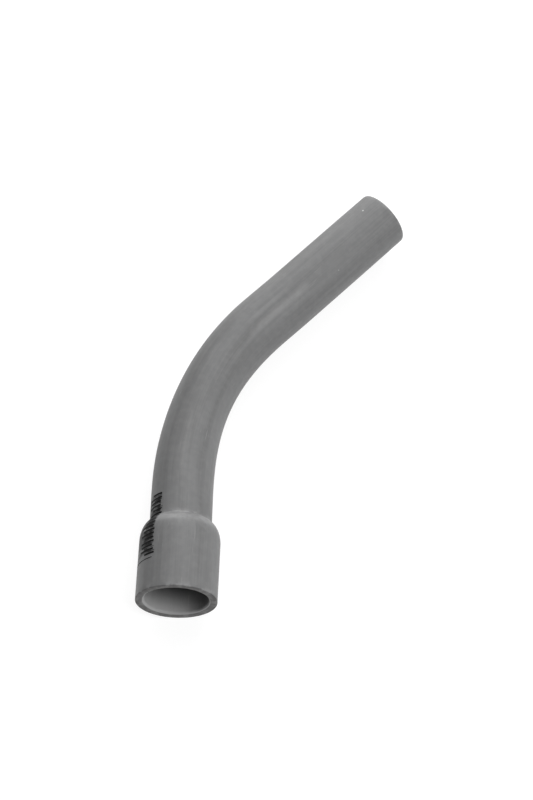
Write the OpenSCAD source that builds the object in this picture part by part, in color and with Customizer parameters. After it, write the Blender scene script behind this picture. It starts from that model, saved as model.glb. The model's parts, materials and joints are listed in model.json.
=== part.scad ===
// PVC conduit elbow. One plastic tube with a bell formed on one end and a bend
// in it, and a strip of ink bars printed along the side of the bell.
// All sizes are in millimetres. The origin is the centre of the socket mouth.
// The socket leg runs along +Y, the tube bends towards +X, and +Z is square to
// the plane that the elbow lies in.

/* [Tube] */
// Outside diameter of the tube
tube_od = 33.4; // [26:0.1:61]
// Wall thickness of the tube
tube_wall = 4.55; // [2.5:0.05:6]

/* [Bell] */
// Radial gap left round a spigot that is pushed into the socket
socket_gap = 0.3; // [0.1:0.05:0.8]
// Wall thickness round the socket
bell_wall = 4.7; // [3.5:0.05:7]
// Length of the parallel part of the bell, which is the depth of the socket
bell_len = 33.5; // [24:0.5:60]
// Size of the lead-in chamfer inside the mouth
mouth_chamfer = 1.3; // [0.5:0.1:2]
// Size of the small break on the outer edge of the mouth
mouth_edge = 0.4; // [0.2:0.1:0.8]

/* [Shoulder] */
// Length of the outside taper, from the bell down to the tube
shoulder_len = 11; // [8:0.5:30]
// Part of a quarter ellipse that the taper follows, as an angle
shoulder_sweep = 75; // [30:1:80]
// Distance that the inside taper stops short of the end of the outside taper
taper_setback = 3; // [1:0.5:6]

/* [Legs and bend] */
// Straight length between the shoulder and the bend
socket_leg_len = 24; // [12:0.5:60]
// Radius of the bend at the centre line of the tube
bend_r = 146; // [100:1:400]
// Angle that the tube turns through
bend_angle = 45; // [15:1:90]
// Straight length from the bend to the plain end
spigot_len = 96.5; // [40:0.5:200]
// Size of the chamfer on the outer edge of the plain end
spigot_chamfer = 1; // [0.3:0.1:1.5]
// Size of the chamfer on the inner edge of the plain end
bore_chamfer = 0.6; // [0.2:0.1:0.8]

/* [Print] */
// Thickness of the ink
ink_t = 0.08; // [0.05:0.01:0.2]
// Angle of the edge where every bar starts, from +Z round towards -X
print_from = 32; // [0:1:120]
// Angle that a full bar covers
bar_span = 28; // [10:1:60]
// Angle that the closing line covers
line_span = 40; // [10:1:90]
// Distance from the mouth to the closing line
print_start = 17.5; // [5:0.5:20]
// Clear length between the last bar and the bend
print_end_gap = 11; // [2:0.5:12]
// Distance from one bar to the next
bar_pitch = 2.3; // [1.5:0.1:6]
// Width of a bar
bar_w = 0.9; // [0.4:0.1:1.2]
// Width of the closing line
line_w = 0.5; // [0.3:0.1:1]

/* [Hidden] */
$fn = 96;
tube_r = tube_od / 2;
bore_r = tube_r - tube_wall;
socket_r = tube_r + socket_gap;
bell_r = socket_r + bell_wall;
taper_len = shoulder_len - taper_setback;

// Places along the socket leg
shoulder_end = bell_len + shoulder_len;
bend_start = shoulder_end + socket_leg_len;

// The bend is made of equal stretches
BEND_PARTS = 3;
part_angle = bend_angle / BEND_PARTS;

// Both tapers are drawn with this many steps
TAPER_STEPS = 12;

// Bars stand between the closing line and the end gap; the lengths repeat
bar_count = floor((bend_start - print_end_gap - print_start) / bar_pitch);
BAR_SHARES = [1, 0.7, 1, 0.85];

// Points [radius, y] of a taper from radius r1 to r2 over a length, starting at y0.
// It leaves r1 parallel to the axis and follows part of an ellipse.
function taper(r1, r2, y0, len) =
    [for (i = [0 : TAPER_STEPS])
        let (a = shoulder_sweep * i / TAPER_STEPS)
        [r1 - (r1 - r2) * (1 - cos(a)) / (1 - cos(shoulder_sweep)),
         y0 + len * sin(a) / sin(shoulder_sweep)]];

function reversed(list) = [for (i = [len(list) - 1 : -1 : 0]) list[i]];

outer_taper = taper(bell_r, tube_r, bell_len, shoulder_len);
inner_taper = taper(socket_r, bore_r, bell_len, taper_len);

// Radius of the outside surface at a place along the socket leg
function surface_r(y) =
    lookup(y, concat([[0, bell_r]], [for (p = outer_taper) [p[1], p[0]]], [[bend_start, tube_r]]));

// Share of the full bar that bar i covers
function bar_share(i) = BAR_SHARES[i % len(BAR_SHARES)];

// A ring about the Y axis from [radius, y] points, or part of one
module ring_y(points, angle = 360, start = 0)
    rotate([-90, 0, 0])
        rotate_extrude(angle = angle, start = start)
            polygon(points);

// Places from y1 to y2 where the outside surface has an edge, with both ends
function surface_stops(y1, y2) =
    concat([y1], [for (p = outer_taper) if (p[1] > y1 && p[1] < y2) p[1]], [y2]);

// A patch of ink on the surface from y1 to y2, covering an angle from print_from
module ink_patch(y1, y2, angle) {
    stops = surface_stops(y1, y2);
    ring_y(concat([for (y = stops) [surface_r(y), y]],
                  [for (y = reversed(stops)) [surface_r(y) + ink_t, y]]),
           angle = angle, start = 270 - print_from - angle);
}

// One stretch of the bend, counted from the socket end
module bend_part(i)
    translate([bend_r, bend_start, 0])
        rotate([0, 0, 180 - (i + 1) * part_angle])
            rotate_extrude(angle = part_angle)
                translate([bend_r, 0])
                    difference() {
                        circle(r = tube_r);
                        circle(r = bore_r);
                    }

module bell()
    color("dimgray")
        ring_y([[socket_r + mouth_chamfer, 0], [bell_r - mouth_edge, 0], [bell_r, mouth_edge],
                [bell_r, bell_len], [socket_r, bell_len], [socket_r, mouth_chamfer]]);

module shoulder()
    color("dimgray")
        ring_y(concat(outer_taper, [[bore_r, shoulder_end]], reversed(inner_taper)));

module socket_leg()
    color("dimgray")
        ring_y([[bore_r, shoulder_end], [tube_r, shoulder_end],
                [tube_r, bend_start], [bore_r, bend_start]]);

module bend_lower() color("dimgray") bend_part(0);

module bend_middle() color("dimgray") bend_part(1);

module bend_upper() color("dimgray") bend_part(2);

module spigot_leg()
    color("dimgray")
        translate([bend_r * (1 - cos(bend_angle)), bend_start + bend_r * sin(bend_angle), 0])
            rotate([0, 0, -bend_angle])
                ring_y([[bore_r, 0], [tube_r, 0], [tube_r, spigot_len - spigot_chamfer],
                        [tube_r - spigot_chamfer, spigot_len], [bore_r + bore_chamfer, spigot_len],
                        [bore_r, spigot_len - bore_chamfer]]);

module ink_print()
    color("black") {
        ink_patch(print_start, print_start + line_w, line_span);
        for (i = [1 : bar_count])
            let (y = print_start + i * bar_pitch)
                ink_patch(y, y + bar_w, bar_span * bar_share(i));
    }

bell();
shoulder();
socket_leg();
bend_lower();
bend_middle();
bend_upper();
spigot_leg();
ink_print();
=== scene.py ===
"""Builds the looks of a belled plastic conduit elbow round its CAD frame: the tube, its printed
bars and a plain studio. All lengths are in metres, in the frame of the CAD model: the socket mouth
is at the origin, the socket leg runs along +Y, and the tube bends towards +X."""

import json
import math

import bmesh
import bpy
from bpy.props import FloatProperty, FloatVectorProperty, IntProperty, PointerProperty
from mathutils import Matrix, Vector, noise


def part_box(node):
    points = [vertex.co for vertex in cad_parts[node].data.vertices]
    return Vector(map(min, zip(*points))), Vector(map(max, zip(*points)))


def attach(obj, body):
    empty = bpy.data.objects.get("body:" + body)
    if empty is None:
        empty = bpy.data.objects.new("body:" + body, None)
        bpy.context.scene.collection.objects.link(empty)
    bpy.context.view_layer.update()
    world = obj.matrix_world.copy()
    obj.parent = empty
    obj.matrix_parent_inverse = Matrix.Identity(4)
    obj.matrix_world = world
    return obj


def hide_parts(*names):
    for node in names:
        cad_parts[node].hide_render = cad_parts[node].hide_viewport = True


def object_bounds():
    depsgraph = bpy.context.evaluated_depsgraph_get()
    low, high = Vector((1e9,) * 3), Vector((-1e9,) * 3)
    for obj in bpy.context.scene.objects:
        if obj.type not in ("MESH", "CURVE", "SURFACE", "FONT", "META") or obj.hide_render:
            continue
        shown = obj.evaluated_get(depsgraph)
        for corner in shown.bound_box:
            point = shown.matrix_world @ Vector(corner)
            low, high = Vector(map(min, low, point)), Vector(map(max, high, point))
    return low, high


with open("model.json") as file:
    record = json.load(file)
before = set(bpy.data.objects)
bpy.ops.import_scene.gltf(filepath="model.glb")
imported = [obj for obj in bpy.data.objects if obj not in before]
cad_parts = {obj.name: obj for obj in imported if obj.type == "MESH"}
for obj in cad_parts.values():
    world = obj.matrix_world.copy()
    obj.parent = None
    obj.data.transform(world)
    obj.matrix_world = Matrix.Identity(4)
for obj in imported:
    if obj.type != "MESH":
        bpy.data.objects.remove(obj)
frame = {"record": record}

bl_info = {
    "name": "Conduit Elbow",
    "version": (1, 0, 0),
    "blender": (4, 5, 0),
    "location": "3D View > Sidebar > Elbow",
    "description": "Builds a belled conduit elbow with its printed bars and a plain studio",
    "category": "Add Mesh",
}

CAD_LOW, CAD_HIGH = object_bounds()
MM = 0.001


# --- Sizes that come from the CAD frame ------------------------------------------------------

MOUNTS = {mount["name"]: mount for mount in frame["record"]["mounts"]}


def mount_size(name, key):
    """A dimension of a mount, in metres."""
    return MOUNTS[name]["dims"][key] * MM


def mount_place(name):
    """A mount's point and the direction of its axis."""
    return Vector(MOUNTS[name]["pos_m"]), Vector(MOUNTS[name]["axis"])


TUBE_R = mount_size("spigot", "r_mm")
BORE_R = mount_size("raceway_inlet", "r_mm")
SOCKET_R = mount_size("socket", "r_mm")
BELL_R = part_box("bell")[1].x
BELL_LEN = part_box("bell")[1].y
MOUTH_CHAMFER = BELL_LEN - mount_size("socket", "length_mm")
SHOULDER_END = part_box("shoulder")[1].y
BEND_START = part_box("socket_leg")[1].y
TAPER_END = BEND_START - mount_size("raceway_inlet", "length_mm")

# The spigot's mount is at the middle of its length, so the bend ends half of that before it
_middle, _axis = mount_place("spigot")
BEND_END = _middle - _axis * mount_size("spigot", "length_mm") / 2
BEND_ANGLE = math.atan2(_axis.x, _axis.y)
BEND_R = BEND_END.x / (1 - math.cos(BEND_ANGLE))
SPIGOT_LEN = (mount_place("spigot_face")[0] - BEND_END).dot(_axis)
SPIGOT_CHAMFER = SPIGOT_LEN - mount_size("spigot", "length_mm")
BORE_CHAMFER = SPIGOT_LEN - mount_size("raceway_outlet", "length_mm")
BEND_CENTRE = Vector((BEND_R, BEND_START, 0))
BEND_LEN = BEND_R * BEND_ANGLE
TIP = BEND_START + BEND_LEN + SPIGOT_LEN


# --- Settings that a user would change -------------------------------------------------------

class ElbowTubeSettings(bpy.types.PropertyGroup):
    """Shape of the tube beyond what the CAD model fixes."""

    sides: IntProperty(
        name="Sides", description="Facets round the tube", default=144, min=24)
    shoulder_sweep: FloatProperty(
        name="Shoulder sweep", description="Part of a quarter ellipse that the shoulder follows",
        default=math.radians(75), subtype="ANGLE")
    corner_round: FloatProperty(
        name="Corner rounding", description="Rounding of the corner where the shoulder meets the tube",
        default=0.7 * MM, unit="LENGTH")
    rim_round: FloatProperty(
        name="Rim rounding", description="Rounding of the edges of the mouth and the plain end",
        default=0.35 * MM, unit="LENGTH")
    throat_dip: FloatProperty(
        name="Throat dip", description="How far the inner side of the bend is drawn in",
        default=1.4 * MM, unit="LENGTH")
    drift: FloatProperty(
        name="Drift", description="How far the bend strays from a true arc, first in, then out",
        default=0.42 * MM, unit="LENGTH")
    bulge: FloatProperty(
        name="Bulge", description="How much the top and bottom of the bend are pushed out",
        default=0.25 * MM, unit="LENGTH")
    bell_lean: FloatProperty(
        name="Bell lean", description="How far the mouth leans away from the bend",
        default=0.5 * MM, unit="LENGTH")
    waviness: FloatProperty(
        name="Waviness", description="Slow unevenness of the surface",
        default=0.06 * MM, unit="LENGTH")


class ElbowPlasticSettings(bpy.types.PropertyGroup):
    """Colours and finish of the plastic."""

    colour: FloatVectorProperty(
        name="Colour", description="Body colour of the plastic",
        default=(0.132, 0.133, 0.134), subtype="COLOR", size=3)
    mottled: FloatVectorProperty(
        name="Mottled", description="Lighter colour that the body is mottled with",
        default=(0.142, 0.143, 0.144), subtype="COLOR", size=3)
    # Also the colour of the painted light inside the mouth, the painted highlight streaks and the
    # painted highlight at the shoulder
    pale: FloatVectorProperty(
        name="Pale", description="Colour of scuffs and of the plastic where it was stretched",
        default=(0.3, 0.3, 0.3), subtype="COLOR", size=3)
    # Also darkens the sawn ends as painted shade
    grime_and_end_shade: FloatVectorProperty(
        name="Grime", description="Colour of handling dirt in the grain",
        default=(0.075, 0.074, 0.073), subtype="COLOR", size=3)
    # Painted shade: this dark colour of the bore deeper in the socket stands in for shade there, not
    # for grime
    bore: FloatVectorProperty(
        name="Bore", description="Colour of the grimy bore behind the socket",
        default=(0.015, 0.015, 0.015), subtype="COLOR", size=3)
    roughness: FloatProperty(
        name="Roughness", description="Mean roughness of the satin surface", default=0.48)
    gloss: FloatProperty(
        name="Gloss", description="Strength of the satin surface's reflections", default=0.28)
    # The pale band at the shoulder is partly stress whitening and partly a painted highlight
    whitening_and_highlight: FloatProperty(
        name="Whitening", description="How pale the stretched shoulder is", default=0.3)
    # Strength of the painted light inside the mouth: the pale colour stands in for light falling into
    # the bell, not dust
    mouth_light_strength: FloatProperty(
        name="Dust", description="How pale the inside of the bell is", default=0.8)
    # Strength of the painted shade in the bore
    depth_shade: FloatProperty(
        name="Depth shade", description="How dark the grimy bore behind the socket is", default=0.8)
    smudge: FloatProperty(
        name="Smudge", description="How dark the smeared ink round the bars is", default=0.95)


class ElbowInkSettings(bpy.types.PropertyGroup):
    """Layout and colour of the printed bars."""

    start: FloatProperty(
        name="Print start", description="Distance from the mouth to the closing line",
        default=17.5 * MM, unit="LENGTH")
    edge: FloatProperty(
        name="Print edge", description="Angle of the edge where the bars start, from the top",
        default=math.radians(30), subtype="ANGLE")
    pitch: FloatProperty(
        name="Bar pitch", description="Distance from one bar to the next",
        default=2.3 * MM, unit="LENGTH")
    bar_width: FloatProperty(
        name="Bar width", description="Width of a bar", default=1.15 * MM, unit="LENGTH")
    bar_length: FloatProperty(
        name="Bar length", description="Length of a full bar round the surface",
        default=10.6 * MM, unit="LENGTH")
    line_width: FloatProperty(
        name="Line width", description="Width of the closing line",
        default=0.5 * MM, unit="LENGTH")
    line_length: FloatProperty(
        name="Line length", description="Length of the closing line round the surface",
        default=18 * MM, unit="LENGTH")
    edge_jitter: FloatProperty(
        name="Edge jitter", description="How unevenly the bars line up at the print edge",
        default=math.radians(4), subtype="ANGLE")
    rag: FloatProperty(
        name="Raggedness", description="How far the sides of a bar wander",
        default=0.12 * MM, unit="LENGTH")
    thickness: FloatProperty(
        name="Ink thickness", description="Height of the ink above the plastic",
        default=0.05 * MM, unit="LENGTH")
    colour: FloatVectorProperty(
        name="Ink colour", description="Colour of the ink where it is whole",
        default=(0.003, 0.003, 0.003), subtype="COLOR", size=3)
    faded: FloatVectorProperty(
        name="Faded ink", description="Colour of the ink where it is thin",
        default=(0.006, 0.006, 0.006), subtype="COLOR", size=3)


class ElbowStudioSettings(bpy.types.PropertyGroup):
    """Floor, lights and lens of the studio."""

    floor_colour: FloatVectorProperty(
        name="Floor", description="Colour of the floor", default=(0.22, 0.22, 0.22),
        subtype="COLOR", size=3)
    floor_glow: FloatProperty(
        name="Floor glow", description="Light given off by the floor, as from a light table",
        default=0.82)
    room_glow: FloatProperty(
        name="Room glow", description="Light that the pale walls of the room give off",
        default=0.29)
    lens: FloatProperty(
        name="Lens", description="Focal length of the camera, in millimetres", default=81)
    light_distance: FloatProperty(
        name="Light distance", description="Distance from the soft boxes to the elbow",
        default=1.2, unit="LENGTH")
    light_size: FloatProperty(
        name="Light size", description="Width of a soft box", default=0.7, unit="LENGTH")


# --- The path of the tube --------------------------------------------------------------------

def straightened(point):
    """Where a point of the bent tube was before bending: (across in the bend's plane, along, up)."""
    from_centre = point - BEND_CENTRE
    turn = math.atan2(from_centre.y, -from_centre.x)
    if turn <= 0:
        return Vector((point.x, point.y, point.z))
    if turn < BEND_ANGLE:
        radius = math.hypot(from_centre.x, from_centre.y)
        return Vector((BEND_R - radius, BEND_START + BEND_R * turn, point.z))
    heading = Vector((math.sin(BEND_ANGLE), math.cos(BEND_ANGLE), 0))
    across = Vector((math.cos(BEND_ANGLE), -math.sin(BEND_ANGLE), 0))
    past = point - BEND_END
    return Vector((past.dot(across), BEND_START + BEND_LEN + past.dot(heading), point.z))


def across_at(along):
    """Direction in the bend's plane, towards its centre, at a distance along the tube."""
    turn = min(max((along - BEND_START) / BEND_R, 0), BEND_ANGLE)
    return Vector((math.cos(turn), -math.sin(turn), 0))


def taper(radius_1, radius_2, start, length, sweep, steps):
    """Points (radius, along) of a taper that follows part of an ellipse, without its first one."""
    points = []
    for i in range(1, steps + 1):
        angle = sweep * i / steps
        share = (1 - math.cos(angle)) / (1 - math.cos(sweep))
        points.append((radius_1 + (radius_2 - radius_1) * share,
                       start + length * math.sin(angle) / math.sin(sweep)))
    return points


def steps_between(radius, start, end, count):
    """Points (radius, along) of a parallel stretch, without its first one."""
    return [(radius, start + (end - start) * i / count) for i in range(1, count + 1)]


def surface_radius(along, sweep):
    """Radius of the outside at a distance along the socket leg."""
    if along <= BELL_LEN:
        return BELL_R
    if along >= SHOULDER_END:
        return TUBE_R
    angle = math.asin((along - BELL_LEN) / (SHOULDER_END - BELL_LEN) * math.sin(sweep))
    share = (1 - math.cos(angle)) / (1 - math.cos(sweep))
    return BELL_R + (TUBE_R - BELL_R) * share


# --- The tube --------------------------------------------------------------------------------

# Steps along the tube, from the mouth to the plain end
SOCKET_STEPS = 8
BELL_STEPS = 12
SHOULDER_STEPS = 16
INNER_LEG_STEPS = 6
OUTER_LEG_STEPS = 8
BEND_STEPS = 56
SPIGOT_STEPS = 40

MERGE_DISTANCE = 1e-6
INNER_WALL_DEPTH = 2.5 * MM
FULL_CORNER = math.radians(20)
SHARP_EDGE = math.radians(35)
SWELLS_PER_METRE = 22

# The stretch where the bend strays from its arc, as shares of the bend's length
DRIFT_START = -0.05
DRIFT_END = 1.15


def wall_profile(settings):
    """The wall in section, from the bend along the inside, round the mouth and back outside."""
    sweep = settings.shoulder_sweep
    inner_taper = taper(SOCKET_R, BORE_R, BELL_LEN, TAPER_END - BELL_LEN, sweep, SHOULDER_STEPS)
    outer_taper = taper(BELL_R, TUBE_R, BELL_LEN, SHOULDER_END - BELL_LEN, sweep, SHOULDER_STEPS)
    points = [(BORE_R, BEND_START)]
    points += steps_between(BORE_R, BEND_START, TAPER_END, INNER_LEG_STEPS)
    points += list(reversed(inner_taper[:-1]))
    points += [(SOCKET_R, BELL_LEN)]
    points += steps_between(SOCKET_R, BELL_LEN, MOUTH_CHAMFER, SOCKET_STEPS)
    points += [(SOCKET_R + MOUTH_CHAMFER, 0), (BELL_R, 0)]
    points += steps_between(BELL_R, 0, BELL_LEN, BELL_STEPS)
    points += outer_taper
    points += steps_between(TUBE_R, SHOULDER_END, BEND_START, OUTER_LEG_STEPS)
    return points


def ring_edges(bm, radius, along, tolerance=MERGE_DISTANCE):
    """Edges of the ring at that radius and distance along the socket leg."""
    def on_ring(vert):
        return (abs(vert.co.y - along) < tolerance
                and abs(math.hypot(vert.co.x, vert.co.z) - radius) < tolerance)
    return [e for e in bm.edges if on_ring(e.verts[0]) and on_ring(e.verts[1])]


def spin_socket_leg(bm, settings):
    """The bell, the shoulder and the straight leg as one open skin, spun from the wall's section."""
    verts = [bm.verts.new((radius, along, 0)) for radius, along in wall_profile(settings)]
    edges = [bm.edges.new(pair) for pair in zip(verts, verts[1:])]
    bmesh.ops.spin(bm, geom=verts + edges, cent=(0, 0, 0), axis=(0, 1, 0), dvec=(0, 0, 0),
                   angle=2 * math.pi, steps=settings.sides, use_merge=True)
    bmesh.ops.remove_doubles(bm, verts=bm.verts, dist=MERGE_DISTANCE)
    bmesh.ops.bevel(
        bm, geom=ring_edges(bm, TUBE_R, SHOULDER_END), offset=settings.corner_round,
        affect="EDGES", segments=3, profile=0.5, material=-1)
    rims = (ring_edges(bm, BELL_R, 0) + ring_edges(bm, SOCKET_R + MOUTH_CHAMFER, 0)
            + ring_edges(bm, SOCKET_R, MOUTH_CHAMFER))
    bmesh.ops.bevel(bm, geom=rims, offset=settings.rim_round,
                    affect="EDGES", segments=3, profile=0.5, material=-1)


def open_edges(bm):
    """Edges with a face on one side only, which are the two open rings."""
    return [e for e in bm.edges if e.is_boundary]


def bend_tube(bm):
    """Carries both open rings round the bend."""
    edges = open_edges(bm)
    verts = list({v for e in edges for v in e.verts})
    bmesh.ops.spin(bm, geom=verts + edges, cent=BEND_CENTRE, axis=(0, 0, 1), dvec=(0, 0, 0),
                   angle=-BEND_ANGLE, steps=BEND_STEPS, use_merge=False)


def extend_spigot(bm):
    """Runs both open rings straight on to the plain end, and closes the wall there."""
    heading = Vector((math.sin(BEND_ANGLE), math.cos(BEND_ANGLE), 0))
    for _ in range(SPIGOT_STEPS):
        grown = bmesh.ops.extrude_edge_only(bm, edges=open_edges(bm))["geom"]
        verts = [g for g in grown if isinstance(g, bmesh.types.BMVert)]
        bmesh.ops.translate(bm, verts=verts, vec=heading * SPIGOT_LEN / SPIGOT_STEPS)
    ends = open_edges(bm)
    bmesh.ops.bridge_loops(bm, edges=ends)
    outer = []
    inner = []
    for edge in ends:
        across = straightened(edge.verts[0].co)
        is_outer = math.hypot(across.x, across.z) > (TUBE_R + BORE_R) / 2
        (outer if is_outer else inner).append(edge)
    bmesh.ops.bevel(bm, geom=outer, offset=SPIGOT_CHAMFER,
                    affect="EDGES", segments=4, profile=0.5, material=-1)
    bmesh.ops.bevel(bm, geom=inner, offset=BORE_CHAMFER,
                    affect="EDGES", segments=2, profile=0.5, material=-1)


def store_straightened(bm):
    """Keeps each vertex's place on the straight tube, for patterns that run along it."""
    layer = bm.verts.layers.float_vector.new("straight")
    for vert in bm.verts:
        vert[layer] = straightened(vert.co)
    return layer


def store_corners(bm):
    """Marks the vertices on rounded corners, where the surface turns fast."""
    layer = bm.verts.layers.float.new("corner")
    for vert in bm.verts:
        turns = [e.calc_face_angle(0) for e in vert.link_edges]
        vert[layer] = min(max(turns, default=0) / FULL_CORNER, 1)


def store_inside(bm, layer, settings):
    """Marks the vertices of the inner wall."""
    inside = bm.verts.layers.float.new("inside")
    for vert in bm.verts:
        place = vert[layer]
        depth = surface_radius(place.y, settings.shoulder_sweep) - math.hypot(place.x, place.z)
        vert[inside] = 1 if depth > INNER_WALL_DEPTH else 0


def unevenness(place, settings):
    """How far the real surface is off the true one: bell lean, stray bend, throat and swelling."""
    share = (place.y - BEND_START) / BEND_LEN
    in_bend = math.sin(math.pi * share) ** 2 if 0 < share < 1 else 0
    throat = max(place.x / TUBE_R, 0) ** 2
    across = -settings.throat_dip * in_bend * throat
    if DRIFT_START < share < DRIFT_END:
        wave = (share - DRIFT_START) / (DRIFT_END - DRIFT_START)
        across += settings.drift * math.sin(2 * math.pi * wave)
    across -= settings.bell_lean * max(1 - place.y / BELL_LEN, 0)
    swell = settings.waviness * noise.noise(place * SWELLS_PER_METRE)
    outward = across_at(place.y) * place.x + Vector((0, 0, place.z))
    upward = Vector((0, 0, settings.bulge * in_bend * place.z / TUBE_R))
    return across_at(place.y) * across + outward.normalized() * swell + upward


class ELBOW_OT_build_tube(bpy.types.Operator):
    """Build the belled and bent tube as one closed skin"""

    bl_idname = "elbow.build_tube"
    bl_label = "Build Tube"

    def execute(self, context):
        settings = context.scene.elbow_tube
        bm = bmesh.new()
        spin_socket_leg(bm, settings)
        bend_tube(bm)
        extend_spigot(bm)
        bmesh.ops.remove_doubles(bm, verts=bm.verts, dist=MERGE_DISTANCE)
        layer = store_straightened(bm)
        store_corners(bm)
        store_inside(bm, layer, settings)
        for vert in bm.verts:
            vert.co += unevenness(vert[layer], settings)
        bmesh.ops.recalc_face_normals(bm, faces=bm.faces)
        tube = finish_piece(bm, "elbow_tube", plastic_material(
            context.scene.elbow_plastic, context.scene.elbow_ink))
        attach(tube, "root")
        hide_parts("bell", "shoulder", "socket_leg", "bend_lower", "bend_middle",
                    "bend_upper", "spigot_leg")
        return {"FINISHED"}


def finish_piece(bm, name, material):
    """Makes an object of the bmesh, smooth shaded but crisp at its corners."""
    mesh = bpy.data.meshes.new(name)
    bm.to_mesh(mesh)
    bm.free()
    mesh.materials.append(material)
    mesh.shade_smooth()
    mesh.set_sharp_from_angle(angle=SHARP_EDGE)
    piece = bpy.data.objects.new(name, mesh)
    bpy.context.scene.collection.objects.link(piece)
    return piece


# --- The printed bars ------------------------------------------------------------------------

BAR_SHARES = (1, 0.7, 1, 0.85)
GAP_BEFORE_BEND = 11 * MM
PATCH_COLUMNS = 40
PATCH_ROWS = 4

# The finer line between two bars: its place in bar widths, and its shares of line width and bar length
BETWEEN_PLACE = 1.45
BETWEEN_WIDTH = 0.6
BETWEEN_LENGTH = 0.75


def print_patch(bm, layer, start, width, length, settings, tube):
    """Lays one stroke of ink round the surface, with slightly ragged sides."""
    grid = bmesh.ops.create_grid(bm, x_segments=PATCH_COLUMNS, y_segments=PATCH_ROWS, size=0.5)
    for vert in grid["verts"]:
        round_share = vert.co.x + 0.5
        width_share = vert.co.y + 0.5
        rag = noise.noise(Vector((round_share * 7, start / MM, width_share * 3)))
        along = start + width * width_share + rag * settings.rag
        edge = settings.edge + settings.edge_jitter * noise.noise(Vector((start / MM * 1.7, 0, 0)))
        turn = edge + length * round_share / surface_radius(start, tube.shoulder_sweep)
        radius = surface_radius(along, tube.shoulder_sweep) + settings.thickness
        vert[layer] = Vector((round_share, width_share, start / MM))
        vert.co = Vector((-math.sin(turn) * radius, along, math.cos(turn) * radius))
        vert.co += unevenness(vert.co, tube)


class ELBOW_OT_print_bars(bpy.types.Operator):
    """Print the strip of plain bars along the side of the bell"""

    bl_idname = "elbow.print_bars"
    bl_label = "Print Bars"

    def execute(self, context):
        settings = context.scene.elbow_ink
        tube = context.scene.elbow_tube
        bm = bmesh.new()
        layer = bm.verts.layers.float_vector.new("stroke")
        print_patch(bm, layer, settings.start, settings.line_width, settings.line_length,
                    settings, tube)
        count = math.floor((BEND_START - GAP_BEFORE_BEND - settings.start) / settings.pitch)
        for i in range(1, count + 1):
            start = settings.start + i * settings.pitch
            length = settings.bar_length * BAR_SHARES[i % len(BAR_SHARES)]
            print_patch(bm, layer, start, settings.bar_width, length, settings, tube)
            if i < count:
                between = start + settings.bar_width * BETWEEN_PLACE
                print_patch(bm, layer, between, settings.line_width * BETWEEN_WIDTH,
                            length * BETWEEN_LENGTH, settings, tube)
        bmesh.ops.recalc_face_normals(bm, faces=bm.faces)
        bars = finish_piece(bm, "ink_bars", ink_material(settings))
        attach(bars, "root")
        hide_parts("ink_print")
        return {"FINISHED"}


# --- Materials -------------------------------------------------------------------------------

class NodeTree:
    """Short ways to add nodes to a node tree and join them."""

    def __init__(self, tree):
        self.tree = tree

    def put(self, value, socket):
        """Joins a node's output to the socket, or sets the socket to a plain value."""
        if isinstance(value, bpy.types.NodeSocket):
            self.tree.links.new(value, socket)
        else:
            socket.default_value = value

    def add(self, kind, inputs=None, **settings):
        node = self.tree.nodes.new(kind)
        for key, value in settings.items():
            setattr(node, key, value)
        for key, value in (inputs or {}).items():
            self.put(value, node.inputs[key])
        return node

    def noise(self, vector, scale, detail=3):
        inputs = {"Vector": vector, "Scale": scale, "Detail": detail}
        return self.add("ShaderNodeTexNoise", inputs).outputs["Fac"]

    def stretched(self, vector, scale):
        return self.add("ShaderNodeMapping", {"Vector": vector, "Scale": scale}).outputs["Vector"]

    def ramp(self, value, low, high, to_low=0.0, to_high=1.0):
        """Smooth change from one value to another as the input passes from low to high."""
        inputs = {"Value": value, "From Min": low, "From Max": high,
                  "To Min": to_low, "To Max": to_high}
        node = self.add("ShaderNodeMapRange", inputs, interpolation_type="SMOOTHSTEP")
        return node.outputs["Result"]

    def math(self, operation, *values):
        node = self.add("ShaderNodeMath", dict(enumerate(values)), operation=operation)
        return node.outputs["Value"]

    def window(self, value, low, high, soft):
        """One between low and high, falling to nought over the soft distance on both sides."""
        return self.math("MULTIPLY", self.ramp(value, low - soft, low),
                         self.ramp(value, high, high + soft, 1.0, 0.0))

    def mix(self, share, first, second):
        node = self.add("ShaderNodeMix", {0: share, 6: first, 7: second}, data_type="RGBA")
        return node.outputs[2]

    def group(self, tree, inputs):
        return self.add("ShaderNodeGroup", inputs, node_tree=tree).outputs


def colour4(colour):
    return (*colour, 1.0)


def effect_group(name, inputs, outputs):
    """An empty node group with float sockets; a vector input is named by a trailing star."""
    tree = bpy.data.node_groups.new(name, "ShaderNodeTree")
    for socket in inputs:
        kind = "NodeSocketVector" if socket.endswith("*") else "NodeSocketFloat"
        tree.interface.new_socket(socket.rstrip("*"), in_out="INPUT", socket_type=kind)
    for socket in outputs:
        tree.interface.new_socket(socket, in_out="OUTPUT", socket_type="NodeSocketFloat")
    nodes = NodeTree(tree)
    start = nodes.add("NodeGroupInput").outputs
    end = nodes.add("NodeGroupOutput").inputs
    return tree, nodes, start, end


def grain_group():
    """Streaks that the die draws along the tube, and a soft mottle."""
    tree, nodes, start, end = effect_group("extrusion_grain", ["Place*"], ["Streaks", "Mottle"])
    fine = nodes.noise(nodes.stretched(start["Place"], (1, 0.012, 1)), 1500)
    wide = nodes.noise(nodes.stretched(start["Place"], (1, 0.05, 1)), 300)
    nodes.put(nodes.math("MULTIPLY_ADD", fine, 0.4, nodes.math("MULTIPLY", wide, 0.6)),
              end["Streaks"])
    cloud = nodes.noise(start["Place"], 45, 4)
    speckle = nodes.noise(start["Place"], 420, 2)
    nodes.put(nodes.math("MULTIPLY_ADD", cloud, 0.7, nodes.math("MULTIPLY", speckle, 0.3)),
              end["Mottle"])
    return tree


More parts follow.
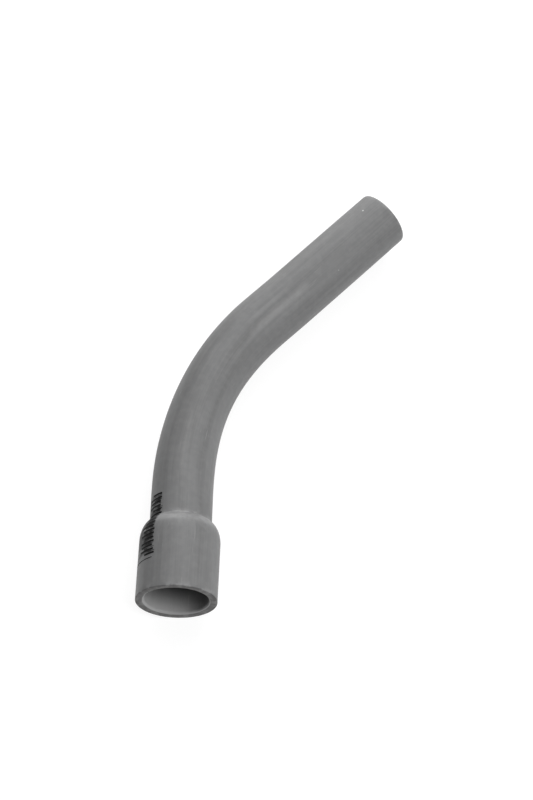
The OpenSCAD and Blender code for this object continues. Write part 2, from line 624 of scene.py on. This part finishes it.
def scuff_group():
    """Fine scratches that run mostly along the tube, and small pale specks."""
    tree, nodes, start, end = effect_group("scuffs", ["Place*"], ["Scratches", "Specks"])
    thin = nodes.noise(nodes.stretched(start["Place"], (1, 0.03, 1)), 2600, 1)
    patches = nodes.noise(start["Place"], 55, 2)
    scratches = nodes.math("MULTIPLY", nodes.ramp(thin, 0.7, 0.78), nodes.ramp(patches, 0.5, 0.62))
    nodes.put(scratches, end["Scratches"])
    cells = nodes.add("ShaderNodeTexVoronoi", {"Vector": start["Place"], "Scale": 160.0})
    chosen = nodes.add("ShaderNodeSeparateColor", {"Color": cells.outputs["Color"]})
    dots = nodes.ramp(cells.outputs["Distance"], 0.04, 0.07, 1.0, 0.0)
    nodes.put(nodes.math("MULTIPLY", dots, nodes.math("GREATER_THAN", chosen.outputs[0], 0.93)),
              end["Specks"])
    return tree


def edge_wear_group():
    """Rubbed corners: the corner mask broken up by noise."""
    tree, nodes, start, end = effect_group("edge_wear", ["Place*", "Corner"], ["Worn"])
    broken = nodes.noise(start["Place"], 260, 3)
    nodes.put(nodes.math("MULTIPLY", start["Corner"], nodes.ramp(broken, 0.42, 0.62)),
              end["Worn"])
    return tree


# Painted highlights: pale streaks along the tube that stand in for soft reflections of the soft boxes:
# start and end along it in millimetres, place round it from the top and half width in degrees, and
# strength
HIGHLIGHT_STREAKS = (
    (174, 204, -28, 11, 0.3),
    (178, 194, -8, 8, 0.15),
    (75, 98, -5, 6, 0.12),
)

# Middle of a small pale nick, as a place on the straight tube
NICK = Vector((-3.8 * MM, 268 * MM, 16.3 * MM))


def plastic_material(settings, ink):
    """Satin grey plastic: drawn streaks, mottling, scuffs, a pale shoulder band that is partly a
    painted highlight, painted light in the mouth, painted shade in the bore and on the sawn ends,
    painted highlight streaks and an ink haze.
    """
    material = bpy.data.materials.new("conduit_plastic")
    material.use_nodes = True
    nodes = NodeTree(material.node_tree)
    shader = material.node_tree.nodes["Principled BSDF"].inputs
    place = nodes.add("ShaderNodeAttribute", attribute_name="straight").outputs["Vector"]
    corner = nodes.add("ShaderNodeAttribute", attribute_name="corner").outputs["Fac"]
    parts = nodes.add("ShaderNodeSeparateXYZ", {"Vector": place}).outputs
    along = parts["Y"]
    turn = nodes.math("ARCTAN2", nodes.math("MULTIPLY", parts["X"], -1.0), parts["Z"])
    grain = nodes.group(grain_group(), {"Place": place})
    scuffs = nodes.group(scuff_group(), {"Place": place})
    wear = nodes.group(edge_wear_group(), {"Place": place, "Corner": corner})

    # The pale shoulder band (stress whitening and a painted highlight), painted light inside the
    # mouth, painted shade in the bore, the sawn ends (rougher, and darkened as painted shade) and the
    # smudged ink
    # Pale band just before the corner of the shoulder: partly stress whitening, partly a painted
    # highlight
    stretched = nodes.window(along, SHOULDER_END - 4.5 * MM, SHOULDER_END - 0.5 * MM, 2.5 * MM)
    stretched = nodes.math("MULTIPLY", stretched, nodes.ramp(grain["Mottle"], 0.38, 0.6))
    inner_wall = nodes.add("ShaderNodeAttribute", attribute_name="inside").outputs["Fac"]
    # Painted light: the inner wall of the bell is paler near the mouth and fades inwards, standing in
    # for light that enters the mouth
    painted_mouth_light = nodes.math("MULTIPLY", inner_wall, nodes.ramp(along, BELL_LEN * 0.6, 0.0))
    # Painted shade: the inner wall goes dark deeper in, standing in for shade inside the bore, and
    # stops short of the plain end
    painted_bore_shade = nodes.math("MULTIPLY", inner_wall, nodes.ramp(along, BELL_LEN * 0.15, BELL_LEN * 0.8))
    painted_bore_shade = nodes.math("MULTIPLY", painted_bore_shade, nodes.ramp(along, TIP - 20 * MM, TIP - 60 * MM))
    # Painted shade: the inner wall of the bell is darker towards the side of the bend
    painted_side_shade = nodes.math("MULTIPLY", nodes.ramp(parts["X"], 0.0, SOCKET_R * 0.9),
                            nodes.window(along, 1 * MM, BELL_LEN, 0.5 * MM))
    painted_bore_shade = nodes.math("MAXIMUM", painted_bore_shade, nodes.math("MULTIPLY", inner_wall, painted_side_shade))
    # The sawn end faces: darker in colour as painted shade, and rougher as cut faces
    sawn_ends_shaded = nodes.math("MAXIMUM", nodes.ramp(along, 0.5 * MM, 0.1 * MM),
                      nodes.ramp(along, TIP - 0.5 * MM, TIP - 0.1 * MM))
    smudge_end = BEND_START - GAP_BEFORE_BEND
    smudge = nodes.math(
        "MULTIPLY", nodes.window(along, ink.start + 5 * MM, smudge_end - 3 * MM, 4 * MM),
        nodes.window(turn, ink.edge + math.radians(6), ink.edge + math.radians(40),
                     math.radians(6)))
    blots = nodes.noise(nodes.stretched(place, (0.6, 1, 0.6)), 240, 2)
    smudge = nodes.math("MULTIPLY", smudge, nodes.ramp(blots, 0.34, 0.52))

    colour = nodes.mix(nodes.ramp(grain["Mottle"], 0.3, 0.7), colour4(settings.colour),
                       colour4(settings.mottled))
    colour = nodes.mix(nodes.ramp(grain["Streaks"], 0.35, 0.7, 0.0, 0.35), colour,
                       colour4(settings.grime_and_end_shade))
    # Painted light inside the mouth
    colour = nodes.mix(nodes.math("MULTIPLY", painted_mouth_light, settings.mouth_light_strength), colour,
                       colour4(settings.pale))
    # Painted shade in the bore
    colour = nodes.mix(nodes.math("MULTIPLY", painted_bore_shade, settings.depth_shade), colour,
                       colour4(settings.bore))
    # Pale shoulder band: stress whitening and painted highlight
    colour = nodes.mix(nodes.math("MULTIPLY", stretched, settings.whitening_and_highlight), colour,
                       colour4(settings.pale))
    # Painted shade on the sawn ends
    colour = nodes.mix(nodes.math("MULTIPLY", sawn_ends_shaded, 0.9), colour, colour4(settings.grime_and_end_shade))
    colour = nodes.mix(nodes.math("MULTIPLY", scuffs["Scratches"], 0.5), colour,
                       colour4(settings.pale))
    colour = nodes.mix(nodes.math("MULTIPLY", wear["Worn"], 0.4), colour, colour4(settings.pale))
    colour = nodes.mix(nodes.math("MULTIPLY", scuffs["Specks"], 0.7), colour,
                       colour4(settings.pale))
    # Painted highlight streaks
    for start, end, middle, half_width, strength in HIGHLIGHT_STREAKS:
        highlight_streak = nodes.math(
            "MULTIPLY", nodes.window(along, start * MM, end * MM, 12 * MM),
            nodes.window(turn, math.radians(middle), math.radians(middle),
                         math.radians(half_width)))
        highlight_streak = nodes.math("MULTIPLY", highlight_streak, nodes.ramp(grain["Mottle"], 0.25, 0.6, 0.4, 1.0))
        colour = nodes.mix(nodes.math("MULTIPLY", highlight_streak, strength), colour,
                           colour4(settings.pale))
    nick = nodes.add("ShaderNodeVectorMath", {0: place, 1: NICK}, operation="DISTANCE")
    nick = nodes.ramp(nick.outputs["Value"], 0.2 * MM, 0.7 * MM, 0.3, 0.0)
    colour = nodes.mix(nick, colour, (1, 1, 1, 1))
    colour = nodes.mix(nodes.math("MULTIPLY", smudge, settings.smudge), colour,
                       colour4(ink.colour))
    nodes.put(colour, shader["Base Color"])

    rough = nodes.ramp(grain["Mottle"], 0.3, 0.7, settings.roughness - 0.06,
                       settings.roughness + 0.06)
    rough = nodes.math("ADD", rough, nodes.math("MULTIPLY", scuffs["Scratches"], 0.15))
    rough = nodes.math("ADD", rough, nodes.math("MULTIPLY", sawn_ends_shaded, 0.2))
    nodes.put(rough, shader["Roughness"])
    shader["Specular IOR Level"].default_value = settings.gloss

    peel = nodes.noise(place, 900, 2)
    height = nodes.math("MULTIPLY_ADD", grain["Streaks"], 0.6, nodes.math("MULTIPLY", peel, 0.4))
    height = nodes.math("SUBTRACT", height, nodes.math("MULTIPLY", scuffs["Scratches"], 0.5))
    bump = nodes.add("ShaderNodeBump", {"Height": height, "Strength": 0.25, "Distance": 0.00012})
    nodes.put(bump.outputs["Normal"], shader["Normal"])
    return material


def ink_material(settings):
    """Thin black ink that breaks up into dots towards the edge of the strip."""
    material = bpy.data.materials.new("printed_ink")
    material.use_nodes = True
    nodes = NodeTree(material.node_tree)
    shader = material.node_tree.nodes["Principled BSDF"].inputs
    stroke = nodes.add("ShaderNodeAttribute", attribute_name="stroke").outputs["Vector"]
    place = nodes.add("ShaderNodeTexCoord").outputs["Object"]
    round_share = nodes.add("ShaderNodeSeparateXYZ", {"Vector": stroke}).outputs["X"]
    dots = nodes.noise(place, 1400, 2)
    patchy = nodes.noise(place, 260, 3)
    kept = nodes.math("ADD", nodes.ramp(round_share, 0.0, 0.3, 0.0, 0.3),
                      nodes.math("MULTIPLY_ADD", dots, 0.5, nodes.math("MULTIPLY", patchy, 0.5)))
    nodes.put(nodes.ramp(kept, 0.4, 0.52), shader["Alpha"])
    shader["Specular IOR Level"].default_value = 0.05
    nodes.put(nodes.mix(nodes.ramp(patchy, 0.4, 0.65), colour4(settings.colour),
                        colour4(settings.faded)), shader["Base Color"])
    nodes.put(nodes.ramp(dots, 0.3, 0.7, 0.45, 0.65), shader["Roughness"])
    return material


def floor_material(settings):
    """Matt board that gives off light of its own, with faint fibre in its tone."""
    material = bpy.data.materials.new("pale_floor")
    material.use_nodes = True
    nodes = NodeTree(material.node_tree)
    shader = material.node_tree.nodes["Principled BSDF"].inputs
    place = nodes.add("ShaderNodeTexCoord").outputs["Object"]
    fibre = nodes.noise(place, 300, 3)
    darker = [level * 0.97 for level in settings.floor_colour]
    nodes.put(nodes.mix(fibre, colour4(darker), colour4(settings.floor_colour)),
              shader["Base Color"])
    shader["Roughness"].default_value = 0.9
    shader["Emission Color"].default_value = (1, 1, 1, 1)
    shader["Emission Strength"].default_value = settings.floor_glow
    return material


# --- The studio ------------------------------------------------------------------------------

FLOOR_HALF_WIDTH = 20

# Where the camera stands, and the directions of its right and its top
CAMERA_PLACE = Vector((0.1442, -0.3756, 0.862))
CAMERA_RIGHT = Vector((0.9944, 0.0196, -0.1034))
CAMERA_TOP = Vector((0.0344, 0.868, 0.4953))


def set_camera(settings):
    """Stands the camera at its place and turns it to its right and top."""
    data = bpy.data.cameras.new("camera")
    data.lens = settings.lens
    camera = bpy.data.objects.new("camera", data)
    back = CAMERA_RIGHT.cross(CAMERA_TOP).normalized()
    top = back.cross(CAMERA_RIGHT).normalized()
    turn = Matrix((CAMERA_RIGHT.normalized(), top, back)).transposed()
    camera.matrix_world = Matrix.LocRotScale(CAMERA_PLACE, turn.to_quaternion(), None)
    bpy.context.scene.collection.objects.link(camera)
    bpy.context.scene.camera = camera


def set_room(settings):
    """Surrounds the studio with plain pale walls, as the world's background."""
    world = bpy.data.worlds.new("pale_room")
    world.use_nodes = True
    background = world.node_tree.nodes["Background"].inputs
    background["Color"].default_value = (1, 1, 1, 1)
    background["Strength"].default_value = settings.room_glow
    bpy.context.scene.world = world


def add_soft_box(name, turn, height, power, settings):
    """A round soft box aimed at the elbow; turn is from +X towards +Y, both are in degrees."""
    data = bpy.data.lights.new(name, "AREA")
    data.shape = "DISK"
    data.size = settings.light_size
    data.energy = power
    light = bpy.data.objects.new(name, data)
    turn = math.radians(turn)
    height = math.radians(height)
    outward = Vector((math.cos(turn) * math.cos(height), math.sin(turn) * math.cos(height),
                      math.sin(height)))
    light.location = (CAD_LOW + CAD_HIGH) / 2 + outward * settings.light_distance
    light.rotation_euler = (-outward).to_track_quat("-Z", "Y").to_euler()
    bpy.context.scene.collection.objects.link(light)


# Name, turn and height in degrees, and power in watts
SOFT_BOXES = (
    ("front_right_high", -45, 63, 3.2),
    ("front_right_low", -30, 38, 6.8),
    ("right_high", 45, 63, 1.6),
    ("back_right", 60, 38, 4.0),
    ("back", 90, 46, 4.7),
    ("back_left", 135, 63, 1.3),
    ("back_low", 100, 12, 6.2),
)


class ELBOW_OT_set_studio(bpy.types.Operator):
    """Lay the floor, hang the lights and place the camera"""

    bl_idname = "elbow.set_studio"
    bl_label = "Set Studio"

    def execute(self, context):
        settings = context.scene.elbow_studio
        bm = bmesh.new()
        bmesh.ops.create_grid(bm, x_segments=1, y_segments=1, size=FLOOR_HALF_WIDTH)
        bmesh.ops.translate(bm, verts=bm.verts, vec=(0, 0, CAD_LOW.z))
        floor = finish_piece(bm, "floor", floor_material(settings))
        set_room(settings)
        for name, turn, height, power in SOFT_BOXES:
            add_soft_box(name, turn, height, power, settings)
        set_camera(settings)
        context.scene.view_settings.view_transform = "Standard"
        return {"FINISHED"}


# --- Add-on ----------------------------------------------------------------------------------

class ELBOW_PT_sidebar(bpy.types.Panel):
    """Buttons that build the elbow, with their settings."""

    bl_label = "Conduit Elbow"
    bl_idname = "ELBOW_PT_sidebar"
    bl_space_type = "VIEW_3D"
    bl_region_type = "UI"
    bl_category = "Elbow"

    def draw(self, context):
        for group, operator in SECTIONS:
            settings = getattr(context.scene, group)
            box = self.layout.box()
            for name in settings.__annotations__:
                box.prop(settings, name)
            box.operator(operator)


SECTIONS = (
    ("elbow_tube", "elbow.build_tube"),
    ("elbow_plastic", "elbow.build_tube"),
    ("elbow_ink", "elbow.print_bars"),
    ("elbow_studio", "elbow.set_studio"),
)
SETTINGS = {
    "elbow_tube": ElbowTubeSettings,
    "elbow_plastic": ElbowPlasticSettings,
    "elbow_ink": ElbowInkSettings,
    "elbow_studio": ElbowStudioSettings,
}
CLASSES = (*SETTINGS.values(), ELBOW_OT_build_tube, ELBOW_OT_print_bars, ELBOW_OT_set_studio,
           ELBOW_PT_sidebar)


def register():
    for cls in CLASSES:
        bpy.utils.register_class(cls)
    for name, group in SETTINGS.items():
        setattr(bpy.types.Scene, name, PointerProperty(type=group))


def unregister():
    for name in SETTINGS:
        delattr(bpy.types.Scene, name)
    for cls in reversed(CLASSES):
        bpy.utils.unregister_class(cls)


def main():
    register()
    bpy.ops.elbow.build_tube()
    bpy.ops.elbow.print_bars()
    bpy.ops.elbow.set_studio()


if __name__ == "__main__":
    main()
